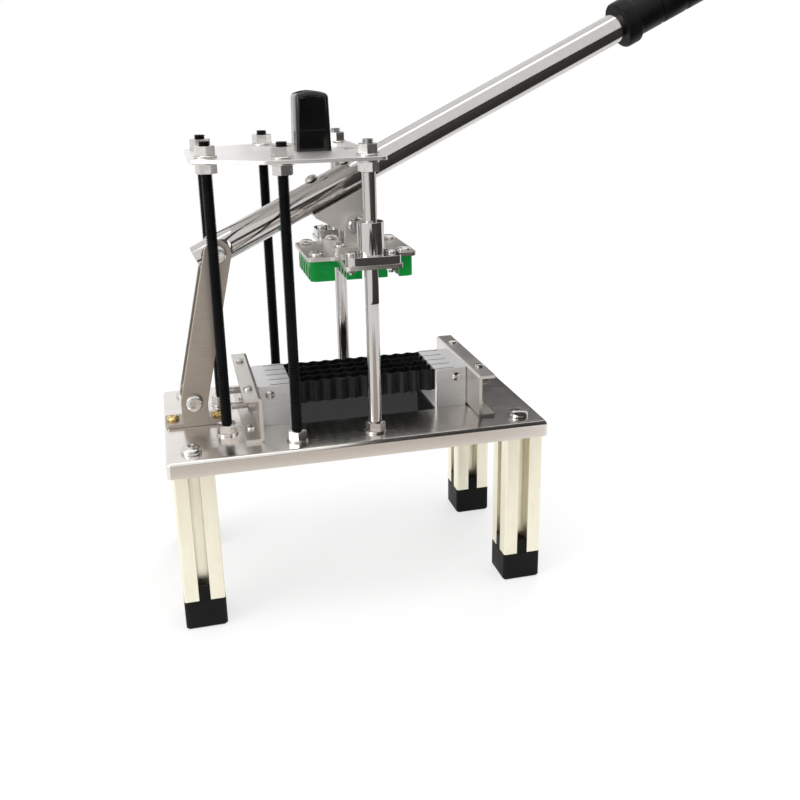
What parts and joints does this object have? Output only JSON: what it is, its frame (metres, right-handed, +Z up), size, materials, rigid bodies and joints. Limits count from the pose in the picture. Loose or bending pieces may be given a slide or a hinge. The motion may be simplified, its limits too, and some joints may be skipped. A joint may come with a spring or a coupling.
{
  "type": "crinkle cut slicer",
  "caption": "Free-standing lever press that pushes a potato through a row of wavy blades, with a sliding head on guide rods above a tray on slotted aluminium legs.",
  "frame": {"origin": "middle of the whole object's box, on the floor under the feet", "axes": "+X along the tray towards the raised handle, +Y to the back, +Z up"},
  "size_m": [0.483, 0.16, 0.4884],
  "materials": {
    "stainless_sheet": "bent stainless sheet, finely brushed and polished",
    "link_steel": "plain steel flats and brackets, satin",
    "polished_steel": "bright ground and polished steel",
    "zinc_fastener": "bright zinc plated fasteners",
    "black_rod": "black oxide threaded rod",
    "profile_aluminium": "clear anodised extruded profile",
    "carrier_aluminium": "machined block, bright",
    "blade_steel": "dark spring steel blade",
    "green_nylon": "moulded green nylon",
    "black_plastic": "glossy black moulding",
    "foot_plastic": "black moulded foot",
    "grip_rubber": "black ribbed rubber"
  },
  "bodies": {
    "base": {"base_plate": "stainless_sheet", "top_plate": "stainless_sheet", "rail_left": "stainless_sheet", "rail_right": "stainless_sheet", "pivot_bracket": "link_steel", "guide_rod_front": "polished_steel", "guide_rod_rear": "polished_steel", "leg_screws": "zinc_fastener", "post_nuts": "zinc_fastener", "post_washers": "zinc_fastener", "cap_screws": "zinc_fastener", "carrier_screws": "zinc_fastener", "tension_studs": "zinc_fastener", "tension_nuts": "zinc_fastener", "rail_screws": "zinc_fastener", "pivot_bracket_screws": "zinc_fastener", "base_pivot_bolt": "zinc_fastener", "threaded_rod_outer_front": "black_rod", "threaded_rod_outer_rear": "black_rod", "threaded_rod_inner_front": "black_rod", "threaded_rod_inner_rear": "black_rod", "leg_front_left": "profile_aluminium", "leg_front_right": "profile_aluminium", "leg_rear_left": "profile_aluminium", "leg_rear_right": "profile_aluminium", "carrier_left": "carrier_aluminium", "carrier_right": "carrier_aluminium", "blade_1": "blade_steel", "blade_2": "blade_steel", "blade_3": "blade_steel", "blade_4": "blade_steel", "blade_5": "blade_steel", "top_cap": "black_plastic", "foot_front_left": "foot_plastic", "foot_front_right": "foot_plastic", "foot_rear_left": "foot_plastic", "foot_rear_right": "foot_plastic"},
    "head": {"head_plate": "stainless_sheet", "pusher": "green_nylon", "pusher_screws": "zinc_fastener", "bushing_front": "polished_steel", "bushing_rear": "polished_steel", "bushing_screws": "zinc_fastener", "head_clevis": "link_steel", "clevis_screws": "zinc_fastener", "head_pin": "polished_steel"},
    "lever": {"lever_tube": "polished_steel", "lever_bracket": "link_steel", "lever_bolts": "zinc_fastener", "grip": "grip_rubber"},
    "link": {"link_front": "link_steel", "link_rear": "link_steel", "link_top_bolt": "zinc_fastener"}
  },
  "joints": [
    {"name": "head_slide", "type": "slide", "parent": "base", "child": "head", "axis": [0, 0, -1], "range_m": [0, 0.088]},
    {"name": "lever_pivot", "type": "hinge", "parent": "head", "child": "lever", "pos_m": [-0.08752, 0, 0.2835], "axis": [0, 1, 0], "range_deg": [0, 47.3]},
    {"name": "link_swing", "type": "hinge", "parent": "base", "child": "link", "pos_m": [-0.21739, 0, 0.157], "axis": [0, 1, 0], "range_deg": [0, 9.4]}
  ],
  "couplings": [
    {"joint": "lever_pivot", "follows": "head_slide", "rad_per_m": 9.337},
    {"joint": "link_swing", "follows": "head_slide", "rad_per_m": 1.8326}
  ]
}
